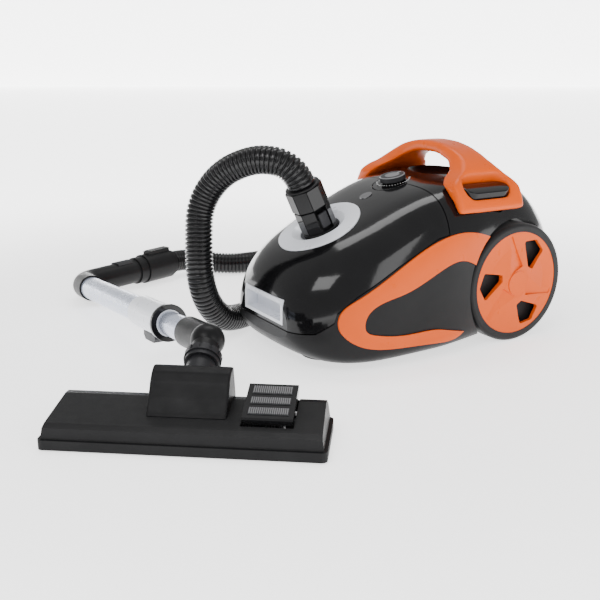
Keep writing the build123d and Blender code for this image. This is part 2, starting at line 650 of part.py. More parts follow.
# ---- nozzle ----------------------------------------------------------------------------
def make_nozzle():
    """Floor nozzle with sole, bumper, saddle cover, brush, pedal, rollers and neck."""
    at = nozzle_place()
    half = NOZZLE_L / 2
    profile = [(3, 12), (5, 23), (12, 26), (70, 35), (80, 34), (86, 28), (87, 12)]
    body = side_prism(profile, -half + 2, half - 2)
    body = body & front_prism([(-half + 2, 0), (-half + 10, 60), (half - 10, 60), (half - 2, 0)], -10, 100)
    inside = side_prism([(6, 0), (8, 21), (13, 23.5), (70, 32), (79, 31), (83, 27), (84, 0)], -half + 6, half - 6)
    inside = inside & front_prism([(-half + 5, -1), (-half + 13, 60), (half - 13, 60), (half - 5, -1)], -10, 100)
    shell = body - inside
    shell -= box(-34, 34, 34, 95, 4.5, 60)
    shell -= box(56, 109, 20, 82, 20, 60)
    add("nozzle_shell", at * shell)
    make_saddle(at, body)
    make_neck(at)
    make_nozzle_pedal(at)
    sole = box(-half + 4, half - 4, 4, 85, 0, 4.5) - box(-122, 122, 22, 40, -1, 6)
    sole -= box(-128, 128, 12, 16, -1, 6) + box(-128, 128, 60, 64, -1, 6)
    for x in (-104, 104):
        sole -= box(x - 11, x + 11, 66.5, 82.5, -1, 6)
        sole += box(x - 15, x - 11.5, 70, 79, 4, 10) + box(x + 11.5, x + 15, 70, 79, 4, 10)
        sole -= rod_x(1.5, x - 20, x + 20, 74.5, 7.0)
    add("sole_plate", at * sole)
    band = box(-half, half, 0, NOZZLE_D, 1.5, 11.8) - box(-half + 3.8, half - 3.8, 3.8, 85.2, 0, 12)
    band = fillet(band.edges().filter_by(Axis.Z).filter_by(lambda e: abs(e.center().X) > half - 1), 6)
    add("bumper_band", at * band)
    strips = [box(-127.5, 127.5, y, y + 3.2, 3.4, 13) for y in (12.4, 60.4)]
    carrier = box(-127.5, 127.5, 12.4, 63.6, 13, 15)
    add("brush_strips", at * (carrier - box(-124, 124, 20, 56, 12, 16) + strips[0] + strips[1]))
    make_rollers(at)


def make_saddle(at, body):
    """Saddle cover over the neck pivot."""
    outline = [(24, 24), (34, 33), (43, 44), (52, 58), (60, 66), (70, 70), (78, 67), (86, 36), (86, 24)]
    hollow = [(30, 24), (37, 33), (46, 45), (54, 56), (61, 63), (70, 67), (76, 65), (84, 30), (84, 24)]
    cover = side_prism(outline, -41, 41) - side_prism(hollow, -38, 38)
    cover -= box(-33, 33, 70, 100, 20, 63)
    cover -= rod_x(14.8, -38, 38, NECK_PIVOT_Y, NECK_PIVOT_Z)
    for tilt in (6, 13):
        swung = Rot(NECK_RISE + tilt - 90, 0, 0) * rod(16.8, 8, 62)
        cover -= Pos(0, NECK_PIVOT_Y, NECK_PIVOT_Z) * swung
    add("saddle_cover", at * largest(cover - body))


def make_neck(at):
    """Tilting neck with its barrel, swivel ring, and the elbow on the wand."""
    pivot = at * Pos(0, NECK_PIVOT_Y, NECK_PIVOT_Z)
    back_up = Rot(NECK_RISE - 90, 0, 0)
    barrel = Rot(0, 90, 0) * rod(14, -32, 32, 10)
    neck = rod(15.5, 8, 64, 12.5) + barrel
    neck -= rod(12.5, 4, 70)
    neck += rod(19, 60, 66, 12.5)
    ring = rod(20.5, 65.5, 74, 16)
    for k in range(12):
        ring -= Rot(0, 0, 30 * k) * (Pos(20.5, 0, 71) * Box(2.4, 3, 8))
    add("neck", pivot * (back_up * (neck + ring)))
    ball = rod(15.6, 66.5, NECK_LENGTH + 20) + Pos(0, 0, NECK_LENGTH + 20) * Sphere(19.2)
    elbow = pivot * (back_up * ball)
    elbow += wand_location() * (rod(18.2, 0, 54))
    elbow -= pivot * (back_up * rod(12.6, 60, NECK_LENGTH + 20))
    elbow -= wand_location() * (rod(12.6, 0, 24) + rod(INNER_TUBE_R + 0.05, 21.9, 60))
    elbow -= Location(elbow_centre()) * Sphere(13.4)
    add("elbow", elbow)


def make_nozzle_pedal(at):
    """Rocker pedal that lowers the brushes, and its pin."""
    outline = [(23, 33), (24, 35), (79, 49.5), (80.5, 46), (79, 42), (58, 31), (52, 26), (46, 29), (24, 30)]
    pedal = side_prism(outline, 57, 108)
    pedal -= rod_x(2.05, 50, 115, 52, 29.5)
    add("brush_pedal", at * pedal)


def make_rollers(at):
    """Two small rollers under the back of the nozzle, and the pins of rollers and pedal."""
    pins = [at * rod_x(2.0, 55, 110, 52, 29.5)]
    for x, suffix in ((-104, "right"), (104, "left")):
        roller = rod_x(7.0, x - 9, x + 9, 74.5, 7.0, 1.56)
        add("roller_" + suffix, at * roller)
        pins.append(at * rod_x(1.5, x - 14.5, x + 14.5, 74.5, 7.0))
    add("nozzle_pins", Compound(children=pins))


def build():
    """Every sub-part, in the canister frame."""
    outer = envelope()
    inner = envelope(WALL)
    make_shells(outer, inner)
    make_trims(outer)
    make_handle(outer)
    make_pedals()
    make_controls()
    make_inlet()
    make_latch()
    make_wheels()
    make_casters()
    make_bulkhead()
    make_bag()
    make_motor()
    make_reel()
    make_exhaust()
    make_switch()
    make_wand()
    make_grip()
    make_nozzle()
    make_hose()


def centring_shift():
    """Move that brings the bottom centre of everything but the loose hose to the origin."""
    boxes = [shape.bounding_box() for name, shape in NODES.items() if not name.startswith("hose_")
             or name in HOSE_FITTINGS]
    low = [min(b.min.X for b in boxes), min(b.min.Y for b in boxes), min(b.min.Z for b in boxes)]
    high = [max(b.max.X for b in boxes), max(b.max.Y for b in boxes)]
    return Vector(-(low[0] + high[0]) / 2, -(low[1] + high[1]) / 2, -low[2])


def save():
    """Write one STEP file for each node, moved so that the origin is at the bottom centre."""
    shift = centring_shift()
    print("shift", tuple(round(v, 3) for v in shift))
    os.makedirs("parts", exist_ok=True)
    for name, shape in NODES.items():
        export_step(shape.moved(Location(shift)), f"parts/{name}.step")


build()
save()
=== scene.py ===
import math
import bpy
import bmesh
from mathutils import Matrix, Vector


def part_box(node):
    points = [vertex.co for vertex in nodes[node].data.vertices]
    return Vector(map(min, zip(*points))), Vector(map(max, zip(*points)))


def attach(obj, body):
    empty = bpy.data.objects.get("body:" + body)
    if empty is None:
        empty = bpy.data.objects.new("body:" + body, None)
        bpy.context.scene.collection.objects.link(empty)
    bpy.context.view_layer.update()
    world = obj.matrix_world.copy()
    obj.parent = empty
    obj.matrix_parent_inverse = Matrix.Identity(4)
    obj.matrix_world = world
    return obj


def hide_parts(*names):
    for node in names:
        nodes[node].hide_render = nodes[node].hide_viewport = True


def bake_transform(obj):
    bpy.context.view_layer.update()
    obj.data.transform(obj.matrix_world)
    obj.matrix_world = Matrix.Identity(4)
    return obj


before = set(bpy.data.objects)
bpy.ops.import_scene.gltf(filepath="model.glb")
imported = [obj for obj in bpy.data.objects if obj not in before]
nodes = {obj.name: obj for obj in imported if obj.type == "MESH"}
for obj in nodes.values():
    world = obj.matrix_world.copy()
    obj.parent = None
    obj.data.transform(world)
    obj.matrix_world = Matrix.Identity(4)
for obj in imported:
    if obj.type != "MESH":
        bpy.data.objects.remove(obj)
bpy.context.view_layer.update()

# ---- canister frame: X across, -Y forward, Z up, floor below the rear axle --------------
left_low, left_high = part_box("wheel_left")
right_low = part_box("wheel_right")[0]
ORIGIN = Vector(((left_high.x + right_low.x) / 2, (left_low.y + left_high.y) / 2, 0.0))


def C(x, y, z):
    """A canister-frame point in millimetres, as a scene point in metres."""
    return ORIGIN + Vector((x, y, z)) / 1000


def frame_matrix(origin, z_axis, x_axis):
    """Local frame with the given Z axis and, as near as it can be, the given X axis."""
    z = Vector(z_axis).normalized()
    x = Vector(x_axis)
    x = (x - z * x.dot(z)).normalized()
    y = z.cross(x)
    m = Matrix((x, y, z)).transposed().to_4x4()
    m.translation = origin
    return m


# ---- camera ----------------------------------------------------------------------------
cam = bpy.data.cameras.new("camera")
cam.lens, cam.sensor_width = 54.0, 36.0
cam.clip_start, cam.clip_end = 0.05, 50
camera = bpy.data.objects.new("camera", cam)
bpy.context.scene.collection.objects.link(camera)
CAM_RIGHT = Vector((0.511, 0.860, 0.0)).normalized()
CAM_FORWARD = Vector((-0.827, 0.491, -0.272)).normalized()
camera.matrix_world = frame_matrix(C(964.67, -838.85, 384.0), -CAM_FORWARD, CAM_RIGHT)
bpy.context.scene.camera = camera


# ---- materials -------------------------------------------------------------------------
def node(tree, kind, **values):
    """New shader node with some of its inputs set."""
    n = tree.nodes.new(kind)
    for key, value in values.items():
        n.inputs[key.replace("_", " ")].default_value = value
    return n


def material(name, color, rough=0.4, metallic=0.0, coat=0.0, coat_rough=0.1, spread=0.12,
             rough_spread=0.08, grain=900.0, bump=0.15, depth=0.00012, wave=None, specular=0.3,
             sheen=0.0, wear=0.25):
    """Procedural surface: mottled base colour with worn edges, uneven gloss and fine grain."""
    mat = bpy.data.materials.new(name)
    mat.use_nodes = True
    t = mat.node_tree
    shader = t.nodes["Principled BSDF"]
    link = t.links.new
    coords = t.nodes.new("ShaderNodeTexCoord")
    slow = node(t, "ShaderNodeTexNoise", Scale=14.0, Detail=4.0, Roughness=0.6)
    fine = node(t, "ShaderNodeTexNoise", Scale=grain, Detail=3.0, Roughness=0.55)
    smudge = node(t, "ShaderNodeTexNoise", Scale=45.0, Detail=5.0, Roughness=0.65)
    for n in (slow, fine, smudge):
        link(coords.outputs["Object"], n.inputs["Vector"])
    ramp = t.nodes.new("ShaderNodeValToRGB")
    dark = [c * (1 - spread) for c in color]
    light = [min(1.0, c * (1 + spread) + 0.002) for c in color]
    ramp.color_ramp.elements[0].position = 0.3
    ramp.color_ramp.elements[0].color = (*dark, 1)
    ramp.color_ramp.elements[1].position = 0.7
    ramp.color_ramp.elements[1].color = (*light, 1)
    link(slow.outputs["Fac"], ramp.inputs["Fac"])
    geometry = t.nodes.new("ShaderNodeNewGeometry")
    edges = t.nodes.new("ShaderNodeMapRange")
    edges.inputs["From Min"].default_value = 0.52
    edges.inputs["From Max"].default_value = 0.66
    edges.inputs["To Max"].default_value = wear
    link(geometry.outputs["Pointiness"], edges.inputs["Value"])
    mix = t.nodes.new("ShaderNodeMix")
    mix.data_type = "RGBA"
    link(edges.outputs["Result"], mix.inputs["Factor"])
    link(ramp.outputs["Color"], mix.inputs["A"])
    worn = [min(1.0, c * 1.5 + 0.03) for c in color]
    mix.inputs["B"].default_value = (*worn, 1)
    link(mix.outputs["Result"], shader.inputs["Base Color"])
    gloss = t.nodes.new("ShaderNodeMapRange")
    gloss.inputs["From Min"].default_value = 0.3
    gloss.inputs["From Max"].default_value = 0.7
    gloss.inputs["To Min"].default_value = max(0.02, rough - rough_spread)
    gloss.inputs["To Max"].default_value = min(1.0, rough + rough_spread)
    link(smudge.outputs["Fac"], gloss.inputs["Value"])
    link(gloss.outputs["Result"], shader.inputs["Roughness"])
    height = fine.outputs["Fac"]
    if wave:
        axis, scale = wave
        bands = t.nodes.new("ShaderNodeTexWave")
        bands.bands_direction = axis
        bands.inputs["Scale"].default_value = scale
        bands.inputs["Distortion"].default_value = 0.4
        bands.inputs["Detail"].default_value = 1.5
        link(coords.outputs["Object"], bands.inputs["Vector"])
        both = t.nodes.new("ShaderNodeMath")
        both.operation = "ADD"
        link(fine.outputs["Fac"], both.inputs[0])
        link(bands.outputs["Fac"], both.inputs[1])
        height = both.outputs["Value"]
    relief = t.nodes.new("ShaderNodeBump")
    relief.inputs["Strength"].default_value = bump
    relief.inputs["Distance"].default_value = depth
    link(height, relief.inputs["Height"])
    link(relief.outputs["Normal"], shader.inputs["Normal"])
    shader.inputs["Metallic"].default_value = metallic
    shader.inputs["Specular IOR Level"].default_value = specular
    shader.inputs["Coat Weight"].default_value = coat
    shader.inputs["Coat Roughness"].default_value = coat_rough
    shader.inputs["Sheen Weight"].default_value = sheen
    return mat


M = {
    "gloss_black": material("gloss_black", (0.003, 0.003, 0.0035), 0.12, specular=0.22,
                            coat=0.12, coat_rough=0.04, rough_spread=0.03, bump=0.02, grain=260,
                            wear=0.1),
    "satin_black": material("satin_black", (0.005, 0.005, 0.0055), 0.36, specular=0.16,
                            grain=1700, bump=0.35, rough_spread=0.06),
    "textured_black": material("textured_black", (0.004, 0.004, 0.0045), 0.42, specular=0.14,
                               grain=1500, bump=0.8, depth=0.0002),
    "dark_grey": material("dark_grey", (0.014, 0.014, 0.016), 0.42, specular=0.2, grain=1600,
                          bump=0.45),
    "orange": material("orange", (0.66, 0.085, 0.0005), 0.33, specular=0.14, coat=0.05,
                       coat_rough=0.25, spread=0.05, grain=1300, bump=0.14, wear=0.12),
    "silver": material("silver_paint", (0.74, 0.76, 0.81), 0.32, metallic=0.1, coat=0.3,
                       grain=2600, bump=0.2, spread=0.05, wear=0.2),
    "tyre": material("tyre_rubber", (0.006, 0.006, 0.0065), 0.45, specular=0.16, grain=1100,
                     bump=0.6, depth=0.0002, sheen=0.1),
    "seal": material("seal_rubber", (0.006, 0.006, 0.0065), 0.55, specular=0.12, grain=1300,
                     bump=0.5),
    "tube": material("tube_lacquer", (0.50, 0.54, 0.65), 0.26, metallic=0.7, coat=0.2,
                     grain=1400, bump=0.12, spread=0.04, wear=0.3, wave=("X", 90.0)),
    "steel": material("machined_steel", (0.55, 0.55, 0.56), 0.3, metallic=1.0, grain=2000,
                      bump=0.25, wave=("Z", 160.0)),
    "alloy": material("pressed_alloy", (0.6, 0.6, 0.62), 0.38, metallic=1.0, grain=1200,
                      bump=0.3),
    "hose": material("hose_plastic", (0.003, 0.003, 0.0035), 0.22, specular=0.2, coat=0.2,
                     coat_rough=0.12, grain=1400, bump=0.25, wear=0.5, rough_spread=0.07),
    "paper": material("filter_paper", (0.62, 0.50, 0.34), 0.85, grain=700, bump=0.9,
                      depth=0.0004, sheen=0.2, spread=0.15),
    "fleece": material("filter_fleece", (0.78, 0.78, 0.75), 0.9, grain=900, bump=1.0,
                       depth=0.0006, sheen=0.4),
    "bristle": material("bristle", (0.02, 0.02, 0.02), 0.5, grain=2500, bump=0.8,
                        wave=("X", 900.0)),
    "clear": material("clear_window", (0.05, 0.05, 0.055), 0.08, coat=0.6, grain=500, bump=0.03,
                      rough_spread=0.02),
    "signal": material("signal_red", (0.55, 0.03, 0.02), 0.4),
    "board": material("circuit_board", (0.02, 0.16, 0.06), 0.35, coat=0.3, wave=("X", 300.0),
                      bump=0.5),
    "mark": material("printed_mark", (0.55, 0.55, 0.55), 0.5, grain=1800, bump=0.2),
    "pad": material("pedal_pad", (0.16, 0.16, 0.165), 0.45, grain=1500, bump=0.5),
}

FINISH = {
    "gloss_black": ["lid_shell", "rear_housing", "hose_connector", "hose_swivel_cuff",
                    "brush_pedal", "power_pedal", "rewind_pedal"],
    "satin_black": ["base_tray", "elbow", "hand_grip", "hose_sleeve"],
    "textured_black": ["nozzle_shell", "saddle_cover", "exhaust_grille"],
    "dark_grey": ["power_knob", "snap_button_left", "snap_button_right", "lock_button",
                  "air_slider", "neck", "cord_reel", "bulkhead_grille", "bag_holder",
                  "power_switch", "caster_fork_left", "caster_fork_right", "caster_wheel_left",
                  "caster_wheel_right", "roller_left", "roller_right"],
    "orange": ["side_trims", "carry_handle", "wheel_cap_left", "wheel_cap_right"],
    "silver": ["inlet_ring", "lid_latch", "lock_sleeve"],
    "tyre": ["wheel_left", "wheel_right"],
    "seal": ["inlet_seal", "cord_outlet_bush", "bumper_band"],
    "tube": ["outer_tube", "inner_tube"],
    "steel": ["motor_stator", "armature", "nozzle_pins", "sole_plate"],
    "alloy": ["motor_housing", "impeller"],
    "fleece": ["motor_filter", "exhaust_filter"],
    "paper": ["dust_bag"],
    "bristle": ["brush_strips"],
    "clear": ["bag_indicator_window"],
    "signal": ["bag_indicator_flag"],
    "board": ["speed_control_board"],
}
for key, names in FINISH.items():
    for name in names:
        mesh = nodes[name].data
        mesh.materials.clear()
        mesh.materials.append(M[key])


# ---- mesh helpers ----------------------------------------------------------------------
def piece(name, verts, faces, mat, body, matrix=None, smooth=True, bevel=0.0, subdivide=0):
    """New mesh piece that rides on a body."""
    mesh = bpy.data.meshes.new(name)
    mesh.from_pydata([tuple(v) for v in verts], [], faces)
    if matrix is not None:
        mesh.transform(matrix)
    mesh.materials.append(M[mat])
    b = bmesh.new()
    b.from_mesh(mesh)
    bmesh.ops.recalc_face_normals(b, faces=b.faces)
    b.to_mesh(mesh)
    b.free()
    for poly in mesh.polygons:
        poly.use_smooth = smooth
    obj = bpy.data.objects.new(name, mesh)
    bpy.context.scene.collection.objects.link(obj)
    if bevel:
        mod = obj.modifiers.new("bevel", "BEVEL")
        mod.width, mod.segments, mod.limit_method = bevel, 3, "ANGLE"
        mod.harden_normals = True
    if subdivide:
        mod = obj.modifiers.new("subdivide", "SUBSURF")
        mod.levels = mod.render_levels = subdivide
    if body:
        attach(obj, body)
    return obj


BLOCK_SIDES = ((0, 1, 3, 2), (4, 6, 7, 5), (0, 4, 5, 1), (2, 3, 7, 6), (0, 2, 6, 4), (1, 5, 7, 3))


def blocks(boxes):
    """Vertices and faces of several blocks, each ((x0, x1), (y0, y1), (z0, z1)) in metres."""
    verts, faces = [], []
    for xs, ys, zs in boxes:
        k = len(verts)
        verts += [Vector((x, y, z)) for x in xs for y in ys for z in zs]
        faces += [[k + i for i in f] for f in BLOCK_SIDES]
    return verts, faces


def curve_points(points):
    """Evenly read points of the smooth curve that the route's points control."""
    data = bpy.data.curves.new("route", "CURVE")
    data.dimensions = "3D"
    data.resolution_u = 48
    spline = data.splines.new("NURBS")
    spline.points.add(len(points) - 1)
    for p, q in zip(spline.points, points):
        p.co = (*q, 1.0)
    spline.order_u = 3
    spline.use_endpoint_u = True
    holder = bpy.data.objects.new("route", data)
    bpy.context.scene.collection.objects.link(holder)
    bpy.context.view_layer.update()
    mesh = bpy.data.meshes.new_from_object(holder)
    read = [v.co.copy() for v in mesh.vertices]
    bpy.data.objects.remove(holder)
    return read


def resample(points, step):
    """The same line with points a fixed step apart."""
    lengths = [0.0]
    for a, b in zip(points, points[1:]):
        lengths.append(lengths[-1] + (b - a).length)
    total = lengths[-1]
    count = max(2, round(total / step))
    out, k = [], 0
    for i in range(count + 1):
        s = total * i / count
        while k < len(lengths) - 2 and lengths[k + 1] < s:
            k += 1
        span = max(1e-9, lengths[k + 1] - lengths[k])
        out.append(points[k].lerp(points[k + 1], min(1.0, (s - lengths[k]) / span)))
    return out


HOSE_R = 0.018
RIB_PITCH = 0.0056
RIB_STEPS = 8
AROUND = 36


def corrugated(name, points):
    """Ribbed tube along a line: rounded crests with narrow grooves between them."""
    line = resample(points, RIB_PITCH / RIB_STEPS)
    verts, faces = [], []
    normal = Vector((1, 0, 0))
    for i, p in enumerate(line):
        ahead = line[min(i + 1, len(line) - 1)] - line[max(i - 1, 0)]
        t = ahead.normalized()
        normal = (normal - t * normal.dot(t)).normalized()
        side = t.cross(normal)
        phase = (i % RIB_STEPS) / RIB_STEPS
        groove = max(0.0, math.cos(2 * math.pi * phase)) ** 1.5
        radius = HOSE_R - 0.0026 * groove
        for k in range(AROUND):
            a = 2 * math.pi * k / AROUND
            verts.append(p + (normal * math.cos(a) + side * math.sin(a)) * radius)
        if i:
            base = (i - 1) * AROUND
            for k in range(AROUND):
                m = (k + 1) % AROUND
                faces.append((base + k, base + m, base + AROUND + m, base + AROUND + k))
    first, last = list(range(AROUND)), list(range(len(verts) - AROUND, len(verts)))
    faces.append(tuple(reversed(first)))
    faces.append(tuple(last))
    return piece(name, verts, faces, "hose", None), line


# ---- the loose hose --------------------------------------------------------------------
LAID = 18                       # height of the hose's centre line where it lies on the floor
CUFF_END = (0, -263.4, 215.9)
GRIP_EXIT = (-439.7, -262.6, 27.1)
HOSE_ARCH = [CUFF_END, (0, -268.5, 226.8), (-5.4, -279.8, 239.7), (-15.3, -292.8, 247),
             (-38, -314, 247), (-70, -342, 228), (-88, -364, 188), (-82, -370, 138),
             (-76, -372, 86), (-87, -352, 44), (-107, -317, LAID), (-127, -276, LAID)]
HOSE_FLOOR = [(-127, -276, LAID), (-147, -235, LAID), (-158, -175, LAID), (-160, -105, LAID),
              (-154, -38, LAID), (-158, 33, LAID), (-189, 91, LAID), (-247, 124, LAID),
              (-314, 124, LAID), (-371, 91, LAID), (-404, 33, LAID), (-408, -20, LAID)]
HOSE_TAIL = [(-411.2, -62, LAID), (-401, -125, LAID), (-414, -172, LAID), (-440, -210, 23),
             (-447.6, -237.8, 27.2), GRIP_EXIT]

arch_route = curve_points([C(*p) for p in HOSE_ARCH])
arch, arch_line = corrugated("hose_arch_ribbed", arch_route)
floor_route = curve_points([C(*p) for p in HOSE_FLOOR + HOSE_TAIL])
floor_hose, floor_line = corrugated("hose_floor_ribbed", floor_route)
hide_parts("hose_arch")
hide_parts("hose_floor", "hose_tail")
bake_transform(arch)
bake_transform(floor_hose)

# ---- moulded edges on the carried-over parts ---------------------------------------------
ROUNDED = {"nozzle_shell": 0.0014, "bumper_band": 0.0008, "lid_latch": 0.0006,
           "lock_button": 0.0012, "air_slider": 0.0006, "side_trims": 0.0006,
           "brush_pedal": 0.0008, "exhaust_grille": 0.0005, "bag_holder": 0.0006,
           "hose_sleeve": 0.0007, "lock_sleeve": 0.0006}
for name, width in ROUNDED.items():
    mod = nodes[name].modifiers.new("edge", "BEVEL")
    mod.width, mod.segments, mod.limit_method, mod.angle_limit = width, 2, "ANGLE", math.radians(35)
    mod.use_clamp_overlap = True
    mod.harden_normals = True


def softened(name, voxel, rounds, mat, body):
    """Copy of a CAD part with its edges melted into smooth moulded curves; it replaces the part."""
    source = nodes[name]
    obj = bpy.data.objects.new(name + "_moulded", source.data.copy())
    bpy.context.scene.collection.objects.link(obj)
    mod = obj.modifiers.new("remesh", "REMESH")
    mod.mode, mod.voxel_size = "VOXEL", voxel
    mod = obj.modifiers.new("melt", "SMOOTH")
    mod.factor, mod.iterations = 0.5, rounds
    bpy.context.view_layer.update()
    mesh = bpy.data.meshes.new_from_object(obj.evaluated_get(bpy.context.evaluated_depsgraph_get()))
    obj.modifiers.clear()
    obj.data = mesh
    mesh.materials.clear()
    mesh.materials.append(M[mat])
    for poly in mesh.polygons:
        poly.use_smooth = True
    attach(obj, body)
    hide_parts(name)


softened("carry_handle", 0.002, 40, "orange", "canister")
softened("saddle_cover", 0.001, 16, "textured_black", "nozzle")
softened("power_pedal", 0.001, 5, "gloss_black", "power_pedal_body")
softened("rewind_pedal", 0.001, 5, "gloss_black", "rewind_pedal_body")

# ---- power knob: fluted skirt, rim and dished face, with a tick scale round it ---------
KNOB_TILT = math.radians(13)
knob_axis = (0, -math.sin(KNOB_TILT), math.cos(KNOB_TILT))
knob_frame = frame_matrix(C(0, -122, 210.8), knob_axis, (1, 0, 0))
FLUTES = 72


def turned(profile, count, flute=0.0):
    """Lathe of (radius, height) points in millimetres, its widest rings fluted."""
    verts, faces = [], []
    widest = max(r for r, _ in profile)
    for r, z in profile:
        for k in range(count):
            a = 2 * math.pi * k / count
            cut = flute * (k % 2) if r > widest - 0.4 else 0.0
            verts.append(Vector(((r - cut) * math.cos(a), (r - cut) * math.sin(a), z)) / 1000)
    for i in range(len(profile) - 1):
        for k in range(count):
            m = (k + 1) % count
            faces.append((i * count + k, i * count + m, (i + 1) * count + m, (i + 1) * count + k))
    faces.append(tuple(range(count - 1, -1, -1)))
    faces.append(tuple(range((len(profile) - 1) * count, len(profile) * count)))
    return verts, faces


skirt = [(3.0, -16), (3.0, 1.2), (16.4, 1.2), (17.3, 1.7), (17.4, 2.4), (17.4, 7.2), (17.0, 7.6)]
verts, faces = turned(skirt, 2 * FLUTES, 0.35)
knob = piece("knob_skirt", verts, faces, "dark_grey", "knob", knob_frame, smooth=False)
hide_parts("power_knob")
crown = [(16.9, 7.4), (17.0, 7.9), (16.4, 8.5), (15.6, 8.6)]
verts, faces = turned(crown, 96)
piece("knob_rim", verts, faces, "pad", "knob", knob_frame)
disc = [(15.6, 8.4), (15.5, 8.7), (14.8, 8.8), (6.0, 8.45), (0.6, 8.4)]
verts, faces = turned(disc, 96)
piece("knob_face", verts, faces, "dark_grey", "knob", knob_frame)
pointer, pointer_faces = blocks([((-0.0004, 0.0004), (0.008, 0.0145), (0.0086, 0.0091))])
pointer = piece("knob_pointer", pointer, pointer_faces, "mark", "knob", knob_frame, False, 0.0001)
ticks, tick_faces = [], []
TICKS, TICK_STEP, FIRST_TICK = 31, 10, 30       # how many, and their angles in degrees
for k in range(TICKS):
    reach = 0.0235 if k % 5 == 0 else 0.0225
    verts, faces = blocks([((-0.00025, 0.00025), (0.0208, reach), (0.0001, 0.0007))])
    turn = Matrix.Rotation(math.radians(FIRST_TICK + TICK_STEP * k), 4, "Z")
    tick_faces += [[len(ticks) + i for i in f] for f in faces]
    ticks += [turn @ v for v in verts]
scale = piece("knob_scale", ticks, tick_faces, "mark", "canister", knob_frame, False)

# ---- black collar on the front end of the wand's lock sleeve -------------------------------
ELBOW = C(105.825, -446.87, 72.417)
WAND_AXIS = Vector((-0.99483, 0.024662, -0.098515))
wand_frame = frame_matrix(ELBOW, WAND_AXIS, (0, 1, 0))


def hoop(profile, count=96):
    """Open ring turned from a closed loop of (radius, height) points in millimetres."""
    verts, faces = [], []
    for r, z in profile:
        for k in range(count):
            a = 2 * math.pi * k / count
            verts.append(Vector((r * math.cos(a), r * math.sin(a), z)) / 1000)
    for i in range(len(profile)):
        j = (i + 1) % len(profile)
        for k in range(count):
            m = (k + 1) % count
            faces.append((j * count + k, j * count + m, i * count + m, i * count + k))
    return verts, faces


COLLAR = [(22.4, 121.5), (23.2, 121.2), (23.3, 116.2), (22.8, 115.3), (17.2, 115.1),
          (16.6, 115.4), (16.6, 116.4)]
verts, faces = hoop(COLLAR)
collar = piece("sleeve_collar", verts, faces, "gloss_black", "wand_upper", wand_frame,
               smooth=False, bevel=0.0002)

# ---- hose connector and cuff: eight glossy flats on a round core --------------------------
INLET_TILT = math.radians(25)
inlet_axis = (0, -math.sin(INLET_TILT), math.cos(INLET_TILT))
inlet_frame = frame_matrix(C(0, -238, 161.5), inlet_axis, (1, 0, 0))


FLAT_GAP = 0.7


def flats(name, core, reach, low, high, body, skip=()):
    """Eight flat wedges with narrow gaps, standing on a core; heights and radii in mm."""
    verts, faces = [], []
    slope = math.tan(math.radians(22.5))
    for k in range(8):
        if k in skip:
            continue
        cells, quads = blocks([((0, 1), (-1, 1), (low / 1000, high / 1000))])
        turn = Matrix.Rotation(math.radians(45 * k), 4, "Z")
        faces += [[len(verts) + i for i in f] for f in quads]
        for cell in cells:
            r = reach if cell.x > 0.5 else core - 0.4
            across = cell.y * (r * slope - FLAT_GAP / 2)
            verts.append(turn @ Vector((r / 1000, across / 1000, cell.z)))
    obj = piece(name, verts, faces, "gloss_black", body, inlet_frame, False, 0.0005)


BUTTON_ROOM = 17.3      # radius of the core behind the two buttons, clear of their travel
profile = [(16.2, -32), (22.4, -31.4), (22.4, -3), (21.4, -2), (BUTTON_ROOM, -1.6),
           (BUTTON_ROOM, 28.6), (20.4, 29.0), (19.4, 29.2), (19.4, 42.6)]
verts, faces = turned(profile, 64)
core = piece("connector_core", verts, faces, "satin_black", "connector", inlet_frame)
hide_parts("hose_connector")
flats("connector_flats", BUTTON_ROOM, 21.9, -1.2, 28.4, "connector", skip=(0, 4))
profile = [(19.7, 29.5), (21.6, 29.6), (21.9, 30.2), (21.9, 57.6), (22.6, 58.0), (22.6, 59.6),
           (21.0, 60.0), (18.1, 60.0)]
verts, faces = turned(profile, 64)
cuff = piece("cuff_core", verts, faces, "satin_black", "lid", inlet_frame)
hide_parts("hose_swivel_cuff")
flats("cuff_flats", 21.9, 22.7, 30.4, 57.2, "lid")

# ---- dust bag: a full square-cornered paper bag, creased and pulled in round its middle --
BAG_U, BAG_V = 72, 28            # points round it and from bottom to top
SQUARENESS, RIM_SQUARENESS, FLATNESS = 0.4, 0.45, 0.8
bag_low, bag_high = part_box("dust_bag")
bag_mid, bag_half = (bag_low + bag_high) / 2, (bag_high - bag_low) / 2


def rounded_power(value, power):
    """A signed value raised to a power, for squarish ovals."""
    return math.copysign(abs(value) ** power, value)


verts, faces = [], []
for i in range(BAG_V + 1):
    v = -math.pi / 2 + math.pi * i / BAG_V
    for j in range(BAG_U):
        u = 2 * math.pi * j / BAG_U
        ring = abs(math.cos(v)) ** RIM_SQUARENESS
        x = rounded_power(math.cos(u), SQUARENESS) * ring
        y = rounded_power(math.sin(u), SQUARENESS) * ring
        z = rounded_power(math.sin(v), FLATNESS)
        crease = 0.03 * math.sin(9 * u + 5 * v) + 0.02 * math.sin(23 * u - 7 * v) * ring
        fold = 0.12 * math.exp(-(v / 0.16) ** 2)
        shrink = 0.93 - fold * 0.5 + crease * 0.5
        p = Vector((x * bag_half.x, y * bag_half.y, z * bag_half.z * (0.94 + crease)))
        verts.append(bag_mid + Vector((p.x * shrink, p.y * shrink, p.z)))
for i in range(BAG_V):
    for j in range(BAG_U):
        m = (j + 1) % BAG_U
        low, high = i * BAG_U, (i + 1) * BAG_U
        faces.append((low + j, low + m, high + m, high + j))
bag = piece("paper_bag", verts, faces, "paper", "canister", subdivide=1)
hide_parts("dust_bag")

# ---- nozzle: ribbed pads on the brush pedal, bristles under the sole ----------------------
NOZZLE_FRONT = C(221, -533, 0)   # middle of the nozzle's front edge, on the floor
ALONG = Vector((0.599, 0.801, 0)).normalized()
BACK = Vector((-ALONG.y, ALONG.x, 0))


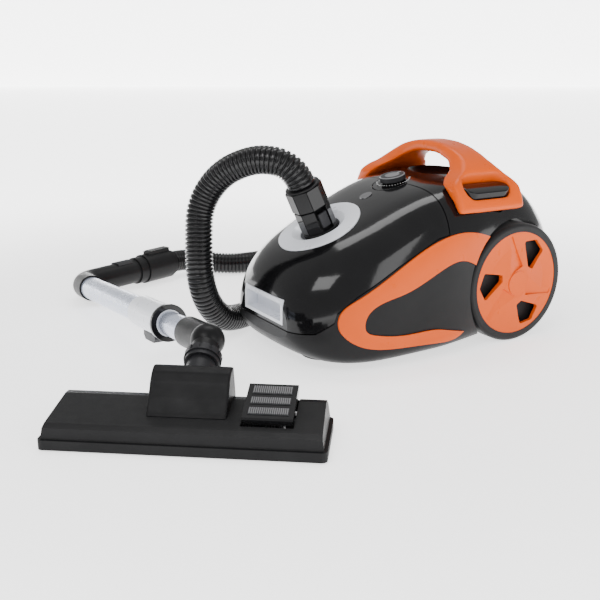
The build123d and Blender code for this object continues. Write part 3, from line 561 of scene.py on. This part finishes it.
def nozzle_point(x, y, z):
    """Nozzle-frame millimetres (X along, Y back, Z up) to a scene point."""
    return NOZZLE_FRONT + (ALONG * x + BACK * y + Vector((0, 0, z))) / 1000


slope = (BACK * 55 + Vector((0, 0, 14.5))).normalized()
pad_frame = frame_matrix(nozzle_point(82.5, 24, 35), ALONG.cross(slope), ALONG)
RIBS, PEDAL_RIB_STEP, RIB_HALF, PAD_MARGIN = 19, 0.0021, 0.0006, 0.0014
pads, ribs = [], []
for y0, y1 in ((0.005, 0.017), (0.022, 0.034), (0.039, 0.053)):
    pads.append(((-0.0205, 0.0205), (y0, y1), (-0.0002, 0.0006)))
    for k in range(RIBS):
        x = PEDAL_RIB_STEP * (k - (RIBS - 1) / 2)
        rib_length = (y0 + PAD_MARGIN, y1 - PAD_MARGIN)
        ribs.append(((x - RIB_HALF, x + RIB_HALF), rib_length, (0.0005, 0.0014)))
verts, faces = blocks(pads)
pads = piece("pedal_pads", verts, faces, "dark_grey", "brush_rocker", pad_frame, False, 0.0002)
verts, faces = blocks(ribs)
ribs = piece("pedal_ribs", verts, faces, "pad", "brush_rocker", pad_frame, False, 0.0002)

# Bristles, in nozzle-frame millimetres: four rows of tufts, each of five three-sided hairs.
TUFTS, TUFT_STEP, HAIRS = 84, 3.0, 5
ROOT, TIP = 13.0, 3.5            # heights of a hair's two ends
SPLAY = 0.5                      # how much wider a tuft is at its tips, as a share
tufts, tuft_faces = [], []
for row, stagger in ((13.2, 0.0), (14.8, 1.5), (61.2, 0.0), (62.8, 1.5)):
    for k in range(TUFTS):
        x = -126 + TUFT_STEP * k + stagger
        for j in range(HAIRS):
            dx, dy = 0.55 * math.cos(2.4 * j + k), 0.5 * math.sin(2.4 * j + k)
            base = len(tufts)
            for height, r in ((ROOT, 0.22), (TIP, 0.14)):
                spread = 1 + SPLAY * (ROOT - height) / (ROOT - TIP)
                for c in range(3):
                    a = 2.1 * c
                    across, back = x + dx * spread, row + dy * spread
                    hair = nozzle_point(across + r * math.cos(a), back + r * math.sin(a), height)
                    tufts.append(hair)
            for a, b in ((0, 1), (1, 2), (2, 0)):
                tuft_faces.append([base + a, base + b, base + b + 3, base + a + 3])
            tuft_faces.append([base + 5, base + 4, base + 3])
bristles = piece("brush_bristles", tufts, tuft_faces, "bristle", "brush_carrier", None, False)
carrier_blocks = [((-0.1275, 0.1275), (y, y + 0.0036), (0.0118, 0.0148)) for y in (0.0122, 0.0602)]
carrier_blocks += [((x, x + 0.0035), (0.0122, 0.0636), (0.0130, 0.0150)) for x in (-0.1275, 0.124)]
verts, faces = blocks(carrier_blocks)
verts = [nozzle_point(*(v * 1000)) for v in verts]
carrier = piece("brush_backing", verts, faces, "dark_grey", "brush_carrier", None, False, 0.0003)
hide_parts("brush_strips")

# ---- setting ---------------------------------------------------------------------------
VIEW_BACK = Vector((CAM_FORWARD.x, CAM_FORWARD.y, 0)).normalized()


def studio_glow_with_painted_shadow_pool(name, low, high, near, far):
    """White studio surface that glows more with its distance from the object, in metres; the dimmer
    glow near the object is a painted shadow pool.
    """
    mat = material(name, (0.97, 0.97, 0.97), 0.55, spread=0.01, bump=0.02, wear=0.0)
    t = mat.node_tree
    where = t.nodes.new("ShaderNodeTexCoord")
    reach = t.nodes.new("ShaderNodeVectorMath")
    # distance from the middle of the stage: the lower glow close in paints shade round the object
    reach.operation = "LENGTH"
    ramp = t.nodes.new("ShaderNodeMapRange")
    ramp.interpolation_type = "SMOOTHSTEP"
    for socket, value in (("From Min", near), ("From Max", far), ("To Min", low), ("To Max", high)):
        ramp.inputs[socket].default_value = value
    shader = t.nodes["Principled BSDF"]
    shader.inputs["Emission Color"].default_value = (1, 1, 1, 1)
    t.links.new(where.outputs["Object"], reach.inputs[0])
    t.links.new(reach.outputs["Value"], ramp.inputs["Value"])
    t.links.new(ramp.outputs["Result"], shader.inputs["Emission Strength"])
    return mat


def stage_plane(name, corners, mat):
    """Flat studio surface, which isn't part of the object."""
    obj = piece(name, corners, [(0, 1, 2, 3)], "mark", None)
    obj.data.materials.clear()
    obj.data.materials.append(mat)


# floor glow 1.5 within 0.4 m of the object, rising to 3.4 past 1.3 m: the dim middle is a painted
# shadow pool
stage_plane("ground", [(-12, -12, 0), (12, -12, 0), (12, 12, 0), (-12, 12, 0)],
            studio_glow_with_painted_shadow_pool("pale_floor_painted_shadow_pool", 1.5, 3.4, 0.4, 1.3))
wall_mid = VIEW_BACK * 8
outline = ((-9, -0.1), (9, -0.1), (9, 1), (-9, 1))
corners = [wall_mid + CAM_RIGHT * x + Vector((0, 0, z)) for x, z in outline]
stage_plane("backdrop", corners, studio_glow_with_painted_shadow_pool("pale_backdrop", 3.0, 3.2, 1.0, 2.0))

world = bpy.data.worlds.new("studio")
bpy.context.scene.world = world
world.use_nodes = True
world.node_tree.nodes["Background"].inputs["Color"].default_value = (1, 1, 1, 1)
world.node_tree.nodes["Background"].inputs["Strength"].default_value = 0.8


def softbox(name, place, target, size, power):
    """Rectangular soft light aimed at a point."""
    data = bpy.data.lights.new(name, "AREA")
    data.shape = "RECTANGLE"
    data.size, data.size_y, data.energy = size[0], size[1], power
    obj = bpy.data.objects.new(name, data)
    bpy.context.scene.collection.objects.link(obj)
    obj.matrix_world = frame_matrix(place, place - target, Vector((0, 0, 1)).cross(place - target))


middle = C(0, -120, 120)
softbox("key", C(700, -1500, 1500), middle, (0.9, 0.6), 14)
softbox("side", C(1700, 100, 900), middle, (0.5, 0.9), 7)
softbox("top", C(-500, 100, 1900), middle, (1.2, 0.5), 12)
